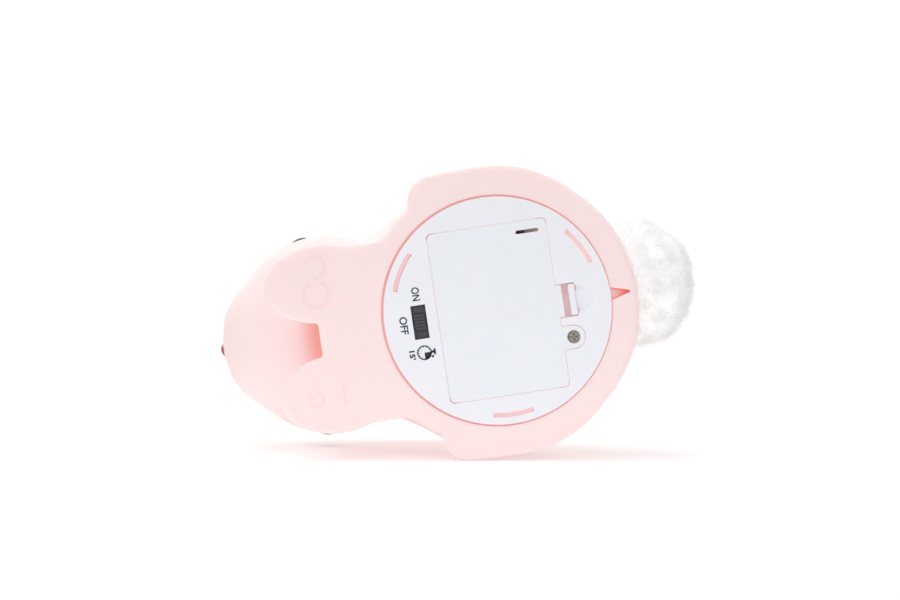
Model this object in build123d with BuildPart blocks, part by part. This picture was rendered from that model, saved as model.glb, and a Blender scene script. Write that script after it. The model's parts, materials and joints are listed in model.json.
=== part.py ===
"""Soft vinyl crouching-rabbit night light with a snap-in battery lamp module, standing on its base.

Frame: millimetres, +Z up, origin at the centre of the round base plate on the plane it stands on.
The animal faces -Y, its fluffy tail is at +Y and its left side is +X.
"""

import os
from math import cos, radians, sin, sqrt

from build123d import *

# ---------------------------------------------------------------- driving dimensions
WALL = 3.0  # vinyl skin
TRUNK_BASE_R = 41.0
TRUNK_EDGE_R = 3.0
TRUNK_R = 46.0
TRUNK_WIDEST_Z = 28.0
TRUNK_TOP_Z = 78.0
TRUNK_EDGE_RUN = 2.4
TRUNK_EDGE_RISE = 2.1
TRUNK_SHOULDER_R = 33.1
TRUNK_SHOULDER_Z = 65.5
TRUNK_START = (0.25, 1)
TRUNK_END = (-1, 0)
HEAD_CENTRE = (0, -58, 60)
HEAD_SEMI = (34.5, 33, 33)
MUZZLE_CENTRE = (0, -82, 53)
MUZZLE_SEMI = (13.5, 12.5, 10.5)
CHEST_CENTRE = (0, -37, 22)
CHEST_SEMI = (30, 21, 36)
SHOULDER_CENTRE = (0, -27, 50)
SHOULDER_SEMI = (32, 31, 32.5)
PAW_X = 17.6
PAW_Y = -54.0
PAW_SEMI = (13.2, 18.2)
PAW_HEIGHT = 17.0
FORELEG_SEMI = (12.0, 14.0, 26.0)
FORELEG_Y = -46.0
FORELEG_Z = 26.0
FOOT_X = 34.4
FOOT_Y = 6.0
FOOT_SEMI = (9.8, 27.5)
FOOT_HEIGHT = 13.0
SOLE_EDGE_R = 2.6
APRON_WIDTH = 57.5
APRON_FRONT = -57.5
APRON_BACK = -20.0
APRON_HEIGHT = 15.0
APRON_CORNER = 9.0
HAUNCH_CENTRE = (31, 13, 25)
HAUNCH_SEMI = (14, 26, 24)
EAR_SEMI = (9.5, 29.0, 4.6)
EAR_CENTRE = (13.5, -19.0, 84.5)
EAR_TILT = 14.0
EAR_SPLAY = 9.0
EYE_R = 3.8
EYE_Y = -62.8
EYE_Z = 63.0
EYE_BACK_X = 29.4
EYE_EDGE_X = 33.3
EYE_TIP_X = 34.9
NOSE_SEMI = (2.5, 1.9)
NOSE_Z = 55.5
NOSE_BACK_Y = -90.0
NOSE_TIP_Y = -95.6
NOSE_EDGE_R = 1.3
NOTCH_HALF_WIDTH = 2.2
NOTCH_END_HALF_WIDTH = 0.3
NOTCH_END_R = 40.6

PLATE_R = 36.2
PLATE_T = 1.8
PLATE_GAP = 0.35
LIP_Z = 1.9
LIP_TOP = 4.4
LIP_R = 32.6
CUP_OUTER_R = 31.6
CUP_INNER_R = 29.8
CUP_TOP = 25.0
SLOT_R = 33.2
SLOT_WIDTH = 1.5
SLOT_SPAN = 22.5
HOOK_ANGLES = (30.0, 150.0, -89.5)  # from +Y towards +X
HOOK_REACH_R = 34.3
HOOK_Z = 4.6
HOOK_TOP = 7.4
HOOK_ROOT_R = 31.2
HOOK_SHORTER = 2.0

BAY_X = 25.2
BAY_Y = 16.6
BAY_WALL = 1.5
BAY_CEILING = 13.4
SEAT_TOP = 3.3
SEAT_LENGTH = 42.4
SEAT_R = 30.3
RAIL_OFFSET = 3.8
RAIL = (10.0, 1.1)
RAIL_HEIGHT = 4.2
TAB_SLOT = (0.8, 2.8)
TAB_SLOT_X = 24.9

DOOR_T = 1.6
DOOR_X = 27.0
DOOR_FRONT = -18.9
DOOR_REAR = 19.1
DOOR_CORNER = 1.6
DOOR_GAP = 0.24
TONGUE_X = 15.0
TONGUE_WIDTH = 8.0
TONGUE_TIP = -20.5
TONGUE_Z = 2.0
TONGUE_TOP = 3.4
TONGUE_ROOM = (8.8, 5.6)
TONGUE_ROOM_Y = -18.2
TONGUE_ROOM_HEIGHT = 3.6
RISER_FRONT = -18.7
RISER_BACK = -17.2
RISER_TOP = 6.1
VENT_X = 23.6
VENT_Y = 12.9
VENT_LENGTH = 7.4
VENT_WIDTH = 1.15

SCREW_X = -11.8
SCREW_Y = 22.7
LOBE_R = 3.6
LOBE_TOP = 3.4
LOBE_GAP = 0.26
LOBE_HEADROOM = 0.3
DOOR_OVERLAP = 1.0
SCREW_HEAD_R = 1.8
SCREW_HEAD_Z = 0.4
SCREW_HEAD_T = 1.2
SCREW_EDGE = 0.3
SCREW_RECESS = (2.3, 0.7)
SCREW_RECESS_DEPTH = 0.8
SCREW_WELL_R = 2.2
SCREW_WELL_DEPTH = 1.6
SCREW_HOLE_R = 1.25
SCREW_SHANK_R = 1.1
SCREW_TIP = 7.0
BOSS_R = 3.1
BOSS_Z = 3.9
BOSS_TOP = 11.0
BOSS_HOLE_R = 1.65
BOSS_ROOF_T = 1.5
BOSS_WEB = (2.0, 3.4)
BOSS_WEB_Y = 19.0

LATCH_HALF = 5.1
LATCH_INNER_Y = (18.7, 20.4)
LATCH_LEG_Y = (23.2, 25.05)
LATCH_PIVOT_Z = 6.2
LATCH_EDGE_Y = 25.35
HOOK_BUMP_Y = 25.6
HOOK_BUMP_X = 3.6
HOOK_BUMP_WIDTH = 1.0
HOOK_BUMP_Z = (3.7, 4.9)
RECESS_Y = 26.4
RECESS_R = 5.1
RECESS_DEPTH = 2.2
RECESS_FLOOR_T = 1.2
RECESS_TAPER = 37.0
RECESS_RIM = 0.9
LATCH_FRAME = 1.8
LATCH_CLEARANCE = 0.3
LATCH_SIDE_GAP = 0.2
LATCH_SHAFT_START = 18.4
BUMP_NOTCH = (1.5, 0.9)
RECESS_OVERLAP = 1.0

SWITCH_Y = -24.9
WINDOW = (10.8, 4.7)
KNOB = (4.6, 3.5)
KNOB_Z = 0.2
KNOB_RIBS = 5
RIB_WIDTH = 0.45
RIB_DEPTH = 0.35
SHUTTER = (16.0, 5.2)
SHUTTER_Z = (2.0, 2.8)
STEM = (2.0, 1.6)
STEM_TOP = 4.2
STEM_GAP = 0.2
SWITCH_BODY = (14.0, 6.2)
SWITCH_BODY_Z = (3.0, 7.4)
SWITCH_TRAVEL = 2.6

CELL_R = 5.25
CELL_Z = 7.45
CELL_PITCH = 11.0
CELL_BODY = 43.5
CELL_NUB = 1.0
CELL_NUB_R = 1.9
CELL_EDGE_R = 0.4
CONTACT_T = 0.4
CONTACT_X = 24.7
BUMP_T = 0.5
BUMP_R = 2.4
STRIP_HEIGHT = 9.8
STRIP_CORNER = 1.2
STRIP_HALF = 4.7
TAB_WIDTH = 2.2
TAB_TOP = 17.6
SPRING_R = 2.7
SPRING_WIRE_R = 0.35
SPRING_TURNS = 4
SPRING_GAP = 0.05

BOARD_Z = 21.0
BOARD_T = 1.6
BOARD_R = 27.4
BOARD_HOLE_R = 1.1
BOARD_SCREW_HEAD = (2.0, 1.3)
BOARD_SCREW_SHANK = (0.9, 6.0)
BOARD_SCREW_SLOT = (2.2, 0.5, 1.2)
LED_RING_R = 8.0
LED_COUNT = 3
LED_FLANGE = (2.9, 1.0)
LED_R = 2.5
LED_HEIGHT = 5.0
CHIP_Y = -17.0
CHIP = (8.6, 5.2, 1.9)
CHIP_STANDOFF = 0.3
CHIP_LEG = (0.6, 1.8, 0.7)
CHIP_LEG_PITCH = (2.0, 6.2)
CHIP_LEG_GRID = (4, 2)
CAPACITOR_PLACE = (14.5, 6.0)
CAPACITOR = (3.2, 7.5)
CAPACITOR_EDGE_R = 0.5
RESISTOR_PLACE = (-15.0, 5.0)
RESISTOR = (3.2, 1.6, 0.7)
RESISTOR_PITCH = 4.0
RESISTOR_COUNT = 3
POST_R = 2.5
POST_HOLE_R = 1.0
POST_PLACES = ((18.0, -15.2), (-18.0, -15.2), (0.0, 15.2))
LEAD_R = 0.55
LEAD_Z = 16.4
LEAD_TURN_X = 16.0
LEAD_BEND_R = 2.0
SWITCH_LEAD_Y = -23.9
SWITCH_LEAD_PITCH = 2.5

DIFFUSER_R = 28.6
DIFFUSER_RISE = 19.0
DIFFUSER_T = 1.4
DIFFUSER_RIM_TOP = 26.5
DIFFUSER_SEAT_Z = 25.05
SPIGOT_R = 29.65
SPIGOT_Z = 23.4

STEM_Z = 31.0
TAIL_R = 21.6
TAIL_CENTRE_Y = 45.6
TAIL_CENTRE_Z = 30.0
TAIL_HOLE_R = 2.7
STEM_FLANGE_Y = 36.8
STEM_FLANGE_R = 4.0
STEM_FLANGE_T = 1.6
STEM_R = 2.3
STEM_LENGTH = 13.0
STEM_ANCHOR_R = 6.0
STEM_ANCHOR_T = 2.0
WASHER_Y = 38.5
WASHER_R = 7.0
WASHER_HOLE_R = 2.5
WASHER_T = 1.3

BOARD_TOP = BOARD_Z + BOARD_T
BAY_TOP = BAY_CEILING + BAY_WALL
UPWARD = (Align.CENTER, Align.CENTER, Align.MIN)
DOWNWARD = (Align.CENTER, Align.CENTER, Align.MAX)

os.makedirs("parts", exist_ok=True)


def save(name, piece):
    """Label a finished piece and write it to its own file."""
    piece.label = name
    export_step(piece, f"parts/{name}.step")


def ellipsoid(centre, semi):
    """An ellipsoid with three semi-axes, moved to its centre."""
    with BuildPart() as blank:
        Sphere(1)
        scale(by=semi)
    return blank.part.moved(Location(centre))


def dome_radius(rim_r, rise):
    """The radius of a spherical dome from its rim radius and its rise."""
    return (rim_r**2 + rise**2) / (2 * rise)


def both_sides(centre):
    """The two mirrored places of a feature on the left and on the right."""
    return [(side * centre[0], centre[1], centre[2]) for side in (1, -1)]


def shrunk(semi):
    """Semi-axes of the hollow inside a form of the given semi-axes."""
    return tuple(value - WALL for value in semi)


def ring_sector(low_r, high_r, span):
    """A flat sector of a ring, centred on the X axis."""
    half = radians(span / 2)
    low_start = (low_r * cos(half), -low_r * sin(half))
    low_end = (low_r * cos(half), low_r * sin(half))
    high_start = (high_r * cos(half), -high_r * sin(half))
    high_end = (high_r * cos(half), high_r * sin(half))
    with BuildSketch(Plane.XY) as sector:
        with BuildLine():
            Line(low_start, high_start)
            ThreePointArc(high_start, (high_r, 0), high_end)
            Line(high_end, low_end)
            ThreePointArc(low_end, (low_r, 0), low_start)
        make_face()
    return sector.sketch


def trunk(skin):
    """The barrel-shaped trunk, reduced all round by the given skin thickness."""
    low = TRUNK_BASE_R - skin
    with BuildPart() as barrel:
        with BuildSketch(Plane.XZ):
            with BuildLine():
                Polyline((0, TRUNK_TOP_Z - skin), (0, 0), (low, 0))
                RadiusArc((low, 0), (low + TRUNK_EDGE_RUN, TRUNK_EDGE_RISE), -TRUNK_EDGE_R)
                Spline(
                    (low + TRUNK_EDGE_RUN, TRUNK_EDGE_RISE),
                    (TRUNK_R - skin, TRUNK_WIDEST_Z),
                    (TRUNK_SHOULDER_R - skin, TRUNK_SHOULDER_Z - skin / 2),
                    (0, TRUNK_TOP_Z - skin),
                    tangents=[TRUNK_START, TRUNK_END],
                )
            make_face()
        revolve(axis=Axis.Z)
    return barrel.part


def sole(centre, semi, height):
    """A paw or a foot: an oval pad with a flat underside, a round lower edge and a domed top."""
    half_width, half_length = semi
    edge = SOLE_EDGE_R
    with BuildPart() as pad:
        with BuildSketch(Plane.XZ):
            with BuildLine():
                Polyline((0, height), (0, 0), (half_width - edge, 0))
                RadiusArc((half_width - edge, 0), (half_width, edge), -edge)
                EllipticalCenterArc((0, edge), half_width, height - edge, arc_size=90)
            make_face()
        revolve(axis=Axis.Z)
        scale(by=(1, half_length / half_width, 1))
    return pad.part.moved(Location((centre[0], centre[1], 0)))


def apron():
    """The flat-bottomed belly that joins the trunk to both paws."""
    with BuildPart() as belly:
        with BuildSketch():
            with Locations((0, (APRON_FRONT + APRON_BACK) / 2)):
                RectangleRounded(APRON_WIDTH, APRON_BACK - APRON_FRONT, APRON_CORNER)
        extrude(amount=APRON_HEIGHT)
        fillet(belly.edges().group_by(Axis.Z)[0], SOLE_EDGE_R)
    return belly.part


def ear(side):
    """One ear, lying back along the neck and shoulders."""
    flat = ellipsoid((0, 0, 0), EAR_SEMI)
    place = Location((side * EAR_CENTRE[0], EAR_CENTRE[1], EAR_CENTRE[2]))
    return flat.moved(place * Location((0, 0, 0), (-EAR_TILT, 0, -side * EAR_SPLAY)))


# ---------------------------------------------------------------- eyes and nose
with BuildPart() as eye_left:
    with BuildSketch(Plane.XY):
        with BuildLine():
            Polyline((EYE_TIP_X, 0), (EYE_BACK_X, 0), (EYE_BACK_X, EYE_R), (EYE_EDGE_X, EYE_R))
            RadiusArc((EYE_EDGE_X, EYE_R), (EYE_TIP_X, 0), dome_radius(EYE_R, EYE_TIP_X - EYE_EDGE_X))
        make_face()
    revolve(axis=Axis.X)
eye_left.part.position = (0, EYE_Y, EYE_Z)
save("eye_left", eye_left.part)

with BuildPart() as eye_right:
    add(mirror(eye_left.part, about=Plane.YZ, mode=Mode.PRIVATE))
save("eye_right", eye_right.part)

nose_face = Plane(origin=(0, NOSE_BACK_Y, NOSE_Z), x_dir=(1, 0, 0), z_dir=(0, -1, 0))
with BuildPart() as nose:
    with BuildSketch(nose_face):
        Ellipse(*NOSE_SEMI)
    extrude(amount=NOSE_BACK_Y - NOSE_TIP_Y)
    fillet(nose.edges().sort_by(Axis.Y)[0], NOSE_EDGE_R)
save("nose", nose.part)

# ---------------------------------------------------------------- vinyl skin
outer_forms = [trunk(0), ellipsoid(CHEST_CENTRE, CHEST_SEMI)]
outer_forms += [ellipsoid(SHOULDER_CENTRE, SHOULDER_SEMI), apron()]
outer_forms += [ellipsoid(HEAD_CENTRE, HEAD_SEMI), ellipsoid(MUZZLE_CENTRE, MUZZLE_SEMI)]
foreleg_centre = (PAW_X, FORELEG_Y, FORELEG_Z)
for spot in both_sides(foreleg_centre):
    outer_forms.append(ellipsoid(spot, FORELEG_SEMI))
for spot in both_sides(HAUNCH_CENTRE):
    outer_forms.append(ellipsoid(spot, HAUNCH_SEMI))
for spot in both_sides((PAW_X, PAW_Y, 0)):
    outer_forms.append(sole(spot, PAW_SEMI, PAW_HEIGHT))
for spot in both_sides((FOOT_X, FOOT_Y, 0)):
    outer_forms.append(sole(spot, FOOT_SEMI, FOOT_HEIGHT))
for side in (1, -1):
    outer_forms.append(ear(side))
hollow_forms = [trunk(WALL), ellipsoid(CHEST_CENTRE, shrunk(CHEST_SEMI))]
hollow_forms.append(ellipsoid(SHOULDER_CENTRE, shrunk(SHOULDER_SEMI)))
hollow_forms.append(ellipsoid(HEAD_CENTRE, shrunk(HEAD_SEMI)))

with BuildPart() as hollow:
    for form in hollow_forms:
        add(form)
    split(bisect_by=Plane.XY.offset(LIP_TOP), keep=Keep.TOP)

with BuildPart() as body_skin:
    for form in outer_forms:
        add(form)
    split(bisect_by=Plane.XY, keep=Keep.TOP)
    add(hollow.part, mode=Mode.SUBTRACT)
    with BuildSketch(Plane.XY):
        Circle(PLATE_R + PLATE_GAP)
    extrude(amount=LIP_Z, mode=Mode.SUBTRACT)
    with BuildSketch(Plane.XY):
        Circle(LIP_R)
    extrude(amount=LIP_TOP, mode=Mode.SUBTRACT)
    with BuildSketch(Plane.XY):
        with BuildLine():
            Polyline(
                (NOTCH_HALF_WIDTH, PLATE_R),
                (NOTCH_END_HALF_WIDTH, NOTCH_END_R),
                (-NOTCH_END_HALF_WIDTH, NOTCH_END_R),
                (-NOTCH_HALF_WIDTH, PLATE_R),
                close=True,
            )
        make_face()
    extrude(amount=LIP_Z, mode=Mode.SUBTRACT)
    for side in (1, -1):
        socket = Plane(origin=(side * EYE_BACK_X, EYE_Y, EYE_Z), z_dir=(side, 0, 0))
        with BuildSketch(socket):
            Circle(EYE_R)
        extrude(amount=EYE_R * 2, mode=Mode.SUBTRACT)
    with BuildSketch(nose_face):
        Ellipse(*NOSE_SEMI)
    extrude(amount=2 * (NOSE_BACK_Y - NOSE_TIP_Y), mode=Mode.SUBTRACT)
    tail_plane = Plane(origin=(0, 0, STEM_Z), z_dir=(0, 1, 0))
    with BuildSketch(tail_plane):
        Circle(TAIL_HOLE_R)
    extrude(amount=TRUNK_R + WALL, mode=Mode.SUBTRACT)
save("body_skin", body_skin.part)

# ---------------------------------------------------------------- tail
stem_start = Plane(origin=(0, STEM_FLANGE_Y, STEM_Z), z_dir=(0, 1, 0))
with BuildPart() as tail_stem:
    with BuildSketch(stem_start):
        Circle(STEM_FLANGE_R)
    extrude(amount=STEM_FLANGE_T)
    with BuildSketch(stem_start.offset(STEM_FLANGE_T)):
        Circle(STEM_R)
    extrude(amount=STEM_LENGTH)
    with BuildSketch(stem_start.offset(STEM_FLANGE_T + STEM_LENGTH)):
        Circle(STEM_ANCHOR_R)
    extrude(amount=STEM_ANCHOR_T)
save("tail_stem", tail_stem.part)

with BuildPart() as tail_washer:
    with BuildSketch(Plane(origin=(0, WASHER_Y, STEM_Z), z_dir=(0, 1, 0))):
        Circle(WASHER_R)
        Circle(WASHER_HOLE_R, mode=Mode.SUBTRACT)
    extrude(amount=WASHER_T)
save("tail_washer", tail_washer.part)

with BuildPart() as tail_pompom:
    with Locations((0, TAIL_CENTRE_Y, TAIL_CENTRE_Z)):
        Sphere(TAIL_R)
    for form in outer_forms:
        add(form, mode=Mode.SUBTRACT)
    add(tail_stem.part, mode=Mode.SUBTRACT)
save("tail_pompom", tail_pompom.part)

# ---------------------------------------------------------------- base plate with cup and battery bay
with BuildPart() as base_plate:
    with BuildSketch():
        Circle(PLATE_R)
    extrude(amount=PLATE_T)
    with BuildSketch(Plane.XY.offset(PLATE_T)):
        Circle(CUP_OUTER_R)
        Circle(CUP_INNER_R, mode=Mode.SUBTRACT)
    extrude(amount=CUP_TOP - PLATE_T)
    # seat around the door opening, and the battery bay above it
    with BuildSketch(Plane.XY.offset(PLATE_T)):
        Rectangle(2 * CUP_INNER_R, SEAT_LENGTH)
        Circle(SEAT_R, mode=Mode.INTERSECT)
    extrude(amount=SEAT_TOP - PLATE_T)
    with BuildSketch(Plane.XY.offset(PLATE_T)):
        Rectangle(2 * (BAY_X + BAY_WALL), 2 * (BAY_Y + BAY_WALL))
    extrude(amount=BAY_TOP - PLATE_T)
    with BuildSketch():
        Rectangle(2 * BAY_X, 2 * BAY_Y)
    extrude(amount=BAY_CEILING, mode=Mode.SUBTRACT)
    # door opening with its screw lobe, and the floor of the finger recess
    with BuildSketch(Plane.XY.offset(PLATE_T)):
        with Locations((0, RECESS_Y)):
            Circle(RECESS_R + RECESS_RIM)
        with Locations((0, (DOOR_REAR + RECESS_Y) / 2)):
            Rectangle(2 * (LATCH_HALF + LATCH_FRAME), RECESS_Y - DOOR_REAR)
    extrude(amount=RECESS_DEPTH + RECESS_FLOOR_T - PLATE_T)
    with BuildSketch():
        with Locations((0, (DOOR_FRONT + DOOR_REAR) / 2)):
            RectangleRounded(2 * (DOOR_X + DOOR_GAP), DOOR_REAR - DOOR_FRONT + 2 * DOOR_GAP, DOOR_CORNER)
        with Locations((SCREW_X, SCREW_Y)):
            Circle(LOBE_R + LOBE_GAP)
        with Locations((SCREW_X, (DOOR_REAR + SCREW_Y) / 2)):
            Rectangle(2 * (LOBE_R + LOBE_GAP), SCREW_Y - DOOR_REAR)
    extrude(amount=PLATE_T, mode=Mode.SUBTRACT)
    with BuildSketch():
        with Locations((SCREW_X, SCREW_Y)):
            Circle(LOBE_R + LOBE_GAP)
    extrude(amount=LOBE_TOP + LOBE_HEADROOM, mode=Mode.SUBTRACT)
    # shaft for the latch spring, with a notch for each of its two catches
    with BuildSketch():
        with Locations((0, (LATCH_SHAFT_START + LATCH_EDGE_Y) / 2)):
            Rectangle(2 * (LATCH_HALF + LATCH_CLEARANCE), LATCH_EDGE_Y - LATCH_SHAFT_START)
        with Locations((HOOK_BUMP_X, LATCH_EDGE_Y), (-HOOK_BUMP_X, LATCH_EDGE_Y)):
            Rectangle(*BUMP_NOTCH)
    extrude(amount=CUP_TOP, mode=Mode.SUBTRACT)
    with BuildSketch():
        with Locations((0, RECESS_Y)):
            Circle(RECESS_R)
        with Locations((0, (LATCH_EDGE_Y + RECESS_Y - RECESS_OVERLAP) / 2)):
            Rectangle(2 * RECESS_R, RECESS_Y - LATCH_EDGE_Y + RECESS_OVERLAP)
    extrude(amount=RECESS_DEPTH, taper=RECESS_TAPER, mode=Mode.SUBTRACT)
    # room for the door's tongues to swing
    with BuildSketch(Plane.XY.offset(PLATE_T)):
        with Locations((TONGUE_X, TONGUE_ROOM_Y), (-TONGUE_X, TONGUE_ROOM_Y)):
            Rectangle(*TONGUE_ROOM)
    extrude(amount=TONGUE_ROOM_HEIGHT, mode=Mode.SUBTRACT)
    # screw boss and its web
    with BuildSketch(Plane.XY.offset(BOSS_Z)):
        with Locations((SCREW_X, SCREW_Y)):
            Circle(BOSS_R)
        with Locations((SCREW_X, BOSS_WEB_Y)):
            Rectangle(*BOSS_WEB)
    extrude(amount=BOSS_TOP - BOSS_Z)
    with BuildSketch(Plane.XY.offset(BOSS_Z)):
        with Locations((SCREW_X, SCREW_Y)):
            Circle(BOSS_HOLE_R)
    extrude(amount=BOSS_TOP - BOSS_Z - BOSS_ROOF_T, mode=Mode.SUBTRACT)
    # switch window and the two rails that hold the switch
    with BuildSketch():
        with Locations((0, SWITCH_Y)):
            Rectangle(*WINDOW)
    extrude(amount=PLATE_T, mode=Mode.SUBTRACT)
    with BuildSketch(Plane.XY.offset(PLATE_T)):
        with Locations((0, SWITCH_Y + RAIL_OFFSET), (0, SWITCH_Y - RAIL_OFFSET)):
            Rectangle(*RAIL)
    extrude(amount=RAIL_HEIGHT)
    # snap catches above the skin's lip, each over the slot that forms its underside
    for angle in HOOK_ANGLES:
        turned = Plane.XY.rotated((0, 0, 90 - angle))
        with BuildSketch(turned.offset(HOOK_Z)):
            add(ring_sector(HOOK_ROOT_R, HOOK_REACH_R, SLOT_SPAN - HOOK_SHORTER))
        extrude(amount=HOOK_TOP - HOOK_Z)
        with BuildSketch(turned):
            add(ring_sector(SLOT_R - SLOT_WIDTH / 2, SLOT_R + SLOT_WIDTH / 2, SLOT_SPAN))
        extrude(amount=PLATE_T, mode=Mode.SUBTRACT)
    # slots for the two solder tabs, and the posts under the circuit board
    with BuildSketch(Plane.XY.offset(BAY_CEILING)):
        with Locations((TAB_SLOT_X, CELL_PITCH), (-TAB_SLOT_X, -CELL_PITCH)):
            Rectangle(*TAB_SLOT)
    extrude(amount=BAY_WALL, mode=Mode.SUBTRACT)
    with BuildSketch(Plane.XY.offset(BAY_TOP)):
        with Locations(*POST_PLACES):
            Circle(POST_R)
            Circle(POST_HOLE_R, mode=Mode.SUBTRACT)
    extrude(amount=BOARD_Z - BAY_TOP)
save("base_plate", base_plate.part)

# ---------------------------------------------------------------- battery door
with BuildPart() as battery_door:
    with BuildSketch():
        with Locations((0, (DOOR_FRONT + DOOR_REAR) / 2)):
            RectangleRounded(2 * DOOR_X, DOOR_REAR - DOOR_FRONT, DOOR_CORNER)
        with Locations((0, (DOOR_REAR + LATCH_INNER_Y[1]) / 2)):
            Rectangle(2 * LATCH_HALF, LATCH_INNER_Y[1] - DOOR_REAR + DOOR_OVERLAP)
        with Locations((SCREW_X, (DOOR_REAR + SCREW_Y) / 2)):
            Rectangle(2 * LOBE_R, SCREW_Y - DOOR_REAR + DOOR_OVERLAP)
        with Locations((SCREW_X, SCREW_Y)):
            Circle(LOBE_R)
    extrude(amount=DOOR_T)
    with BuildSketch(Plane.XY.offset(DOOR_T)):
        with Locations((SCREW_X, SCREW_Y)):
            Circle(LOBE_R)
    extrude(amount=LOBE_TOP - DOOR_T)
    with BuildSketch(Plane.XY.offset(DOOR_T)):
        with Locations((0, sum(LATCH_INNER_Y) / 2)):
            Rectangle(2 * (LATCH_HALF - LATCH_SIDE_GAP), LATCH_INNER_Y[1] - LATCH_INNER_Y[0])
    extrude(amount=RISER_TOP - DOOR_T)
    for side in (1, -1):
        with BuildSketch(Plane.XY.offset(DOOR_T)):
            with Locations((side * TONGUE_X, (RISER_FRONT + RISER_BACK) / 2)):
                Rectangle(TONGUE_WIDTH, RISER_BACK - RISER_FRONT)
        extrude(amount=TONGUE_TOP - DOOR_T)
        with BuildSketch(Plane.XY.offset(TONGUE_Z)):
            with Locations((side * TONGUE_X, (TONGUE_TIP + RISER_BACK) / 2)):
                Rectangle(TONGUE_WIDTH, RISER_BACK - TONGUE_TIP)
        extrude(amount=TONGUE_TOP - TONGUE_Z)
    with Locations((SCREW_X, SCREW_Y, 0)):
        Cylinder(SCREW_WELL_R, SCREW_WELL_DEPTH, align=UPWARD, mode=Mode.SUBTRACT)
        Cylinder(SCREW_HOLE_R, LOBE_TOP, align=UPWARD, mode=Mode.SUBTRACT)
    with BuildSketch():
        with Locations(Location((VENT_X, VENT_Y), 90)):
            SlotOverall(VENT_LENGTH, VENT_WIDTH)
    extrude(amount=DOOR_T, mode=Mode.SUBTRACT)
save("battery_door", battery_door.part)

# ---------------------------------------------------------------- latch spring
with BuildPart() as door_latch:
    with BuildSketch(Plane.YZ.offset(LATCH_SIDE_GAP - LATCH_HALF)):
        centre_y = (LATCH_INNER_Y[1] + LATCH_LEG_Y[0]) / 2
        outer_r = LATCH_LEG_Y[1] - centre_y
        inner_r = LATCH_LEG_Y[0] - centre_y
        with Locations((centre_y, LATCH_PIVOT_Z)):
            Circle(outer_r)
            Circle(inner_r, mode=Mode.SUBTRACT)
        with Locations((centre_y, LATCH_PIVOT_Z - outer_r)):
            Rectangle(4 * outer_r, 2 * outer_r, mode=Mode.SUBTRACT)
        with Locations(((LATCH_LEG_Y[0] + LATCH_LEG_Y[1]) / 2, LATCH_PIVOT_Z / 2)):
            Rectangle(LATCH_LEG_Y[1] - LATCH_LEG_Y[0], LATCH_PIVOT_Z)
    extrude(amount=2 * (LATCH_HALF - LATCH_SIDE_GAP))
    for side in (1, -1):
        with BuildSketch(Plane.XY.offset(HOOK_BUMP_Z[0])):
            with Locations((side * HOOK_BUMP_X, (LATCH_LEG_Y[0] + HOOK_BUMP_Y) / 2)):
                Rectangle(HOOK_BUMP_WIDTH, HOOK_BUMP_Y - LATCH_LEG_Y[0])
        extrude(amount=HOOK_BUMP_Z[1] - HOOK_BUMP_Z[0])
save("door_latch", door_latch.part)

# ---------------------------------------------------------------- captive door screw
with BuildPart() as door_screw:
    with BuildSketch(Plane.XY.offset(SCREW_HEAD_Z)):
        with Locations((SCREW_X, SCREW_Y)):
            Circle(SCREW_HEAD_R)
    extrude(amount=SCREW_HEAD_T)
    chamfer(door_screw.edges().sort_by(Axis.Z)[0], SCREW_EDGE)
    with BuildSketch(Plane.XY.offset(SCREW_HEAD_Z + SCREW_HEAD_T)):
        with Locations((SCREW_X, SCREW_Y)):
            Circle(SCREW_SHANK_R)
    extrude(amount=SCREW_TIP - SCREW_HEAD_Z - SCREW_HEAD_T)
    with BuildSketch(Plane.XY.offset(SCREW_HEAD_Z)):
        with Locations((SCREW_X, SCREW_Y)):
            Rectangle(*SCREW_RECESS)
            Rectangle(*reversed(SCREW_RECESS))
    extrude(amount=SCREW_RECESS_DEPTH, mode=Mode.SUBTRACT)
save("door_screw", door_screw.part)

# ---------------------------------------------------------------- slide switch
with BuildPart() as switch_knob:
    with BuildSketch(Plane.XY.offset(SHUTTER_Z[0])):
        with Locations((0, SWITCH_Y)):
            Rectangle(*SHUTTER)
    extrude(amount=SHUTTER_Z[1] - SHUTTER_Z[0])
    with BuildSketch(Plane.XY.offset(KNOB_Z + RIB_DEPTH)):
        with Locations((0, SWITCH_Y)):
            Rectangle(*KNOB)
    extrude(amount=SHUTTER_Z[0] - KNOB_Z - RIB_DEPTH)
    with BuildSketch(Plane.XY.offset(KNOB_Z)):
        with Locations((0, SWITCH_Y)):
            with GridLocations((KNOB[0] - RIB_WIDTH) / (KNOB_RIBS - 1), 1, KNOB_RIBS, 1):
                Rectangle(RIB_WIDTH, KNOB[1])
    extrude(amount=RIB_DEPTH)
    with BuildSketch(Plane.XY.offset(SHUTTER_Z[1])):
        with Locations((0, SWITCH_Y)):
            Rectangle(*STEM)
    extrude(amount=STEM_TOP - SHUTTER_Z[1])
save("switch_knob", switch_knob.part)

with BuildPart() as switch_body:
    with BuildSketch(Plane.XY.offset(SWITCH_BODY_Z[0])):
        with Locations((0, SWITCH_Y)):
            Rectangle(*SWITCH_BODY)
    extrude(amount=SWITCH_BODY_Z[1] - SWITCH_BODY_Z[0])
    with BuildSketch(Plane.XY.offset(SWITCH_BODY_Z[0])):
        with Locations((0, SWITCH_Y)):
            Rectangle(STEM[0] + 2 * (SWITCH_TRAVEL + STEM_GAP), STEM[1] + 2 * STEM_GAP)
    extrude(amount=STEM_TOP + 2 * STEM_GAP - SWITCH_BODY_Z[0], mode=Mode.SUBTRACT)
save("switch_body", switch_body.part)

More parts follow.
